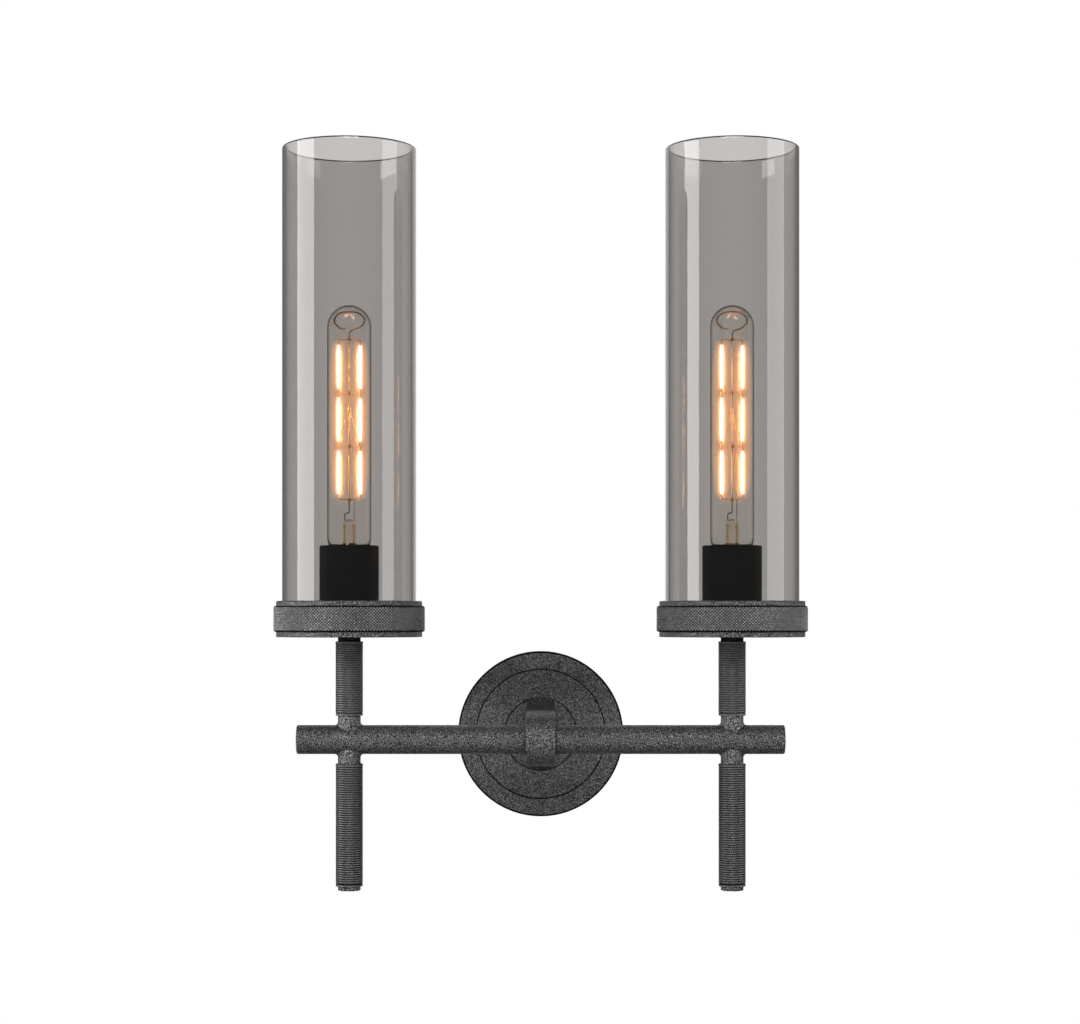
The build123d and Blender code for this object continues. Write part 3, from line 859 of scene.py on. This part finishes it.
def tab_mesh(place, angle, low, high):
    """Flat metal tab at the end of a filament, narrower at both ends."""
    across = Vector((-math.sin(angle), math.cos(angle), 0)) * tab_width / 2
    through = Vector((math.cos(angle), math.sin(angle), 0)) * tab_thickness / 2
    taper = (high - low) * tab_taper_share
    rows = ((low, tab_end_share), (low + taper, 1.0), (high - taper, 1.0), (high, tab_end_share))
    corners = ((-1, -1), (1, -1), (1, 1), (-1, 1))
    vertices = []
    for height, share in rows:
        for along, beside in corners:
            corner = place + across * along * share + through * beside
            vertices.append((corner.x, corner.y, height))
    return vertices, stick_faces(len(rows), len(corners))


def filaments(side):
    """Lit sticks in three tiers, with a metal tab at each end."""
    node = f"{side}_bulb_filaments"
    center, _, low, high = node_size(node)
    pitch = (high - low) / filament_tiers
    coats, tabs, spans = [], [], []
    for tier in range(filament_tiers):
        tier_low = low + tier * pitch
        tier_high = tier_low + pitch
        lit_low = tier_low + tab_length
        lit_high = tier_high - tab_length
        spans.append((lit_low, lit_high))
        for place, angle in filament_places(center):
            coats.append((place, spindle(filament_radius, lit_low, lit_high, coat_fullness)))
            tabs.append(tab_mesh(place, angle, tier_low, lit_low + filament_radius))
            tabs.append(tab_mesh(place, angle, lit_high - filament_radius, tier_high))
    coat = joined_sticks(f"{side}_filament_coats", coats, materials["filament"])
    stand_for(coat, node, f"{side}_bulb")
    ride_bulb(joined(f"{side}_filament_tabs", tabs, tab_metal), side)
    filament_glow(side, center, spans)


def glow_shell(place, radius, low, high, reach):
    """Center and outline of a shell of light that reaches past both ends of what it surrounds."""
    return place, spindle(radius, low - reach, high + reach, glow_fullness)


def filament_glow(side, center, spans):
    """Shells of painted glow: three round each stick, one round each column and one that fills the bulb.
    """
    places = [place for place, _ in filament_places(center)]
    for name, radius, material in stick_glows:
        shells = [glow_shell(place, radius, *span, radius / 2) for span in spans for place in places]
        ride_bulb(joined_sticks(f"{side}_{name}_glow", shells, material), side)
    low = spans[0][0]
    high = spans[-1][1]
    columns = [glow_shell(place, column_glow_radius, low, high, column_glow_radius) for place in places]
    ride_bulb(joined_sticks(f"{side}_column_glow", columns, column_glow), side)
    whole = [glow_shell(center, bulb_glow_radius, low, high, bulb_glow_reach)]
    ride_bulb(joined_sticks(f"{side}_bulb_glow", whole, bulb_glow, bulb_glow_segments), side)


def stem_leads(side):
    """The two gilded leads sealed in the stem's glass, each with a drop near its top."""
    center, _, low, high = node_size(f"{side}_bulb_stem")
    leads = []
    for direction in (-1, 1):
        place = Vector((center.x + direction * lead_offset, center.y, 0))
        lead = spindle(lead_radius, low + lead_above_foot, high - lead_below_top, coat_fullness)
        drop = spindle(drop_radius, high - drop_low_below_top, high - drop_high_below_top, glow_fullness)
        leads += [(place, lead), (place, drop)]
    ride_bulb(joined_sticks(f"{side}_stem_leads", leads, lead_gold_painted_glow), side)


# Stage, light and camera

def background_ray(tree, through_glass=1.0):
    """1 for a ray that shows the white background: straight to the camera, or through glass unmirrored."""
    path = add_node(tree, "ShaderNodeLightPath")
    through = calculate(tree, "MULTIPLY", path.outputs["Is Transmission Ray"], through_glass)
    seen = calculate(tree, "MAXIMUM", path.outputs["Is Camera Ray"], through)
    unmirrored = calculate(tree, "LESS_THAN", path.outputs["Glossy Depth"], half_bounce)
    return calculate(tree, "MULTIPLY", seen, unmirrored)


def floor_material():
    """Pale where it is seen, white past the shadow's reach, and dim in the light that it throws back."""
    material, tree, shader = new_material("pale_floor")
    mottle = noise_texture(tree, scale=3.0, detail=4.0)
    color_by(tree, shader, mottle, (0.86, 0.86, 0.86), (0.9, 0.9, 0.9))
    shader.inputs["Roughness"].default_value = 0.9
    shader.inputs["Emission Color"].default_value = (*white, 1.0)
    shader.inputs["Emission Strength"].default_value = floor_glow
    bounce = add_node(tree, "ShaderNodeBsdfDiffuse", {"Color": floor_bounce})
    bright = add_node(tree, "ShaderNodeEmission", {"Color": (*white, 1.0), "Strength": 1.0})
    distance = distance_from_origin(tree, axes=(1, 1, 1))
    far = spread(tree, distance, 0.0, 1.0, floor_shadow_near, floor_shadow_far)
    seen = background_ray(tree)
    pale = mix_shaders(tree, seen, bounce.outputs["BSDF"], shader.outputs["BSDF"])
    seen_far = calculate(tree, "MULTIPLY", far, seen)
    surface = mix_shaders(tree, seen_far, pale, bright.outputs["Emission"])
    tree.links.new(surface, tree.nodes["Material Output"].inputs["Surface"])
    return material


def floor():
    """Plain floor below the light."""
    corners = ((-1, -1), (1, -1), (1, 1), (-1, 1))
    vertices = [(x * floor_reach, y * floor_reach, floor_height) for x, y in corners]
    mesh_object("floor", vertices, [(0, 1, 2, 3)], floor_material())


def white_world():
    """White backdrop behind the object, and a dimmer studio above and all round it."""
    world = bpy.data.worlds.new("white_studio")
    bpy.context.scene.world = world
    world.use_nodes = True
    tree = world.node_tree
    background = tree.nodes["Background"]
    background.inputs["Color"].default_value = (*white, 1.0)
    _, y, z = separated(tree, add_node(tree, "ShaderNodeTexCoord").outputs["Generated"])
    below_top = calculate(tree, "LESS_THAN", z, backdrop_rise)
    backdrop = ramp(tree, y, [(place, (level,) * 3) for place, level in backdrop_levels])
    path = add_node(tree, "ShaderNodeLightPath")
    scattered = path.outputs["Is Diffuse Ray"]
    unscattered = calculate(tree, "LESS_THAN", path.outputs["Diffuse Depth"], half_bounce)
    through_glass = calculate(tree, "MAXIMUM", below_top, unscattered)
    low_backdrop = calculate(tree, "MULTIPLY", backdrop, below_top)
    mirrored = calculate(tree, "MAXIMUM", low_backdrop, studio_level)
    shown = calculate(tree, "MULTIPLY", mirrored, calculate(tree, "SUBTRACT", 1.0, scattered))
    studio = calculate(tree, "ADD", shown, calculate(tree, "MULTIPLY", scattered, ambient_level))
    strength = calculate(tree, "MAXIMUM", studio, background_ray(tree, through_glass))
    tree.links.new(strength, background.inputs["Strength"])


def soft_box(name, place, target, size, power):
    """Soft lamp that is mirrored and lights the object, but isn't seen directly or through glass."""
    light = bpy.data.lights.new(name, "AREA")
    light.shape = "RECTANGLE"
    light.size, light.size_y = size
    light.energy = power
    lamp = bpy.data.objects.new(name, light)
    bpy.context.scene.collection.objects.link(lamp)
    lamp.location = place
    lamp.rotation_euler = (Vector(target) - Vector(place)).to_track_quat("-Z", "Y").to_euler()
    lamp.visible_camera = False
    lamp.visible_transmission = False


def studio_light():
    """Side lamps that the glass mirrors as bands, a high key, a low fill and a panel behind."""
    bar_middle = (0, post_plane, 0)
    side_target = (0, post_plane, side_lamp_height)
    for side, direction, power in side_lamps:
        place = (direction * side_lamp_reach, post_plane - side_lamp_forward, side_lamp_height)
        soft_box(f"{side}_soft_box", place, side_target, side_lamp_size, power)
    key_place = (0, post_plane - key_lamp_forward, key_lamp_height)
    soft_box("key_soft_box", key_place, bar_middle, key_lamp_size, key_lamp_power)
    low_place = (0, post_plane - low_lamp_forward, low_lamp_height)
    soft_box("low_soft_box", low_place, bar_middle, low_lamp_size, low_lamp_power)
    back_place = (0, post_plane + back_panel_behind, back_panel_height)
    back_target = (0, post_plane, back_panel_aim_height)
    soft_box("back_panel", back_place, back_target, back_panel_size, back_panel_power)


def photo_camera():
    """Camera at the photograph's eye level, shifted to its frame."""
    data = bpy.data.cameras.new("photo_camera")
    data.sensor_width = sensor_width
    data.lens = sensor_width * focal_pixels / photo_width
    data.shift_y = (eye_level_row - photo_height / 2) / photo_width
    data.shift_x = (photo_width / 2 - middle_column) / photo_width
    data.clip_start = nearest_view
    camera = bpy.data.objects.new("photo_camera", data)
    bpy.context.scene.collection.objects.link(camera)
    camera.location = (0, post_plane - camera_distance, camera_height)
    camera.rotation_euler = (math.radians(90), 0, 0)
    bpy.context.scene.camera = camera


bpy.context.scene.view_settings.view_transform = "Standard"
photo_camera()
dress_cad_nodes()
hammered_bar()
for side in sides:
    for place in ("upper", "lower"):
        ribbed_sleeve(side, place)
    knurled_band(side)
    glass_tube(side)
    bulb_glass(side)
    filaments(side)
    stem_leads(side)
floor()
white_world()
studio_light()
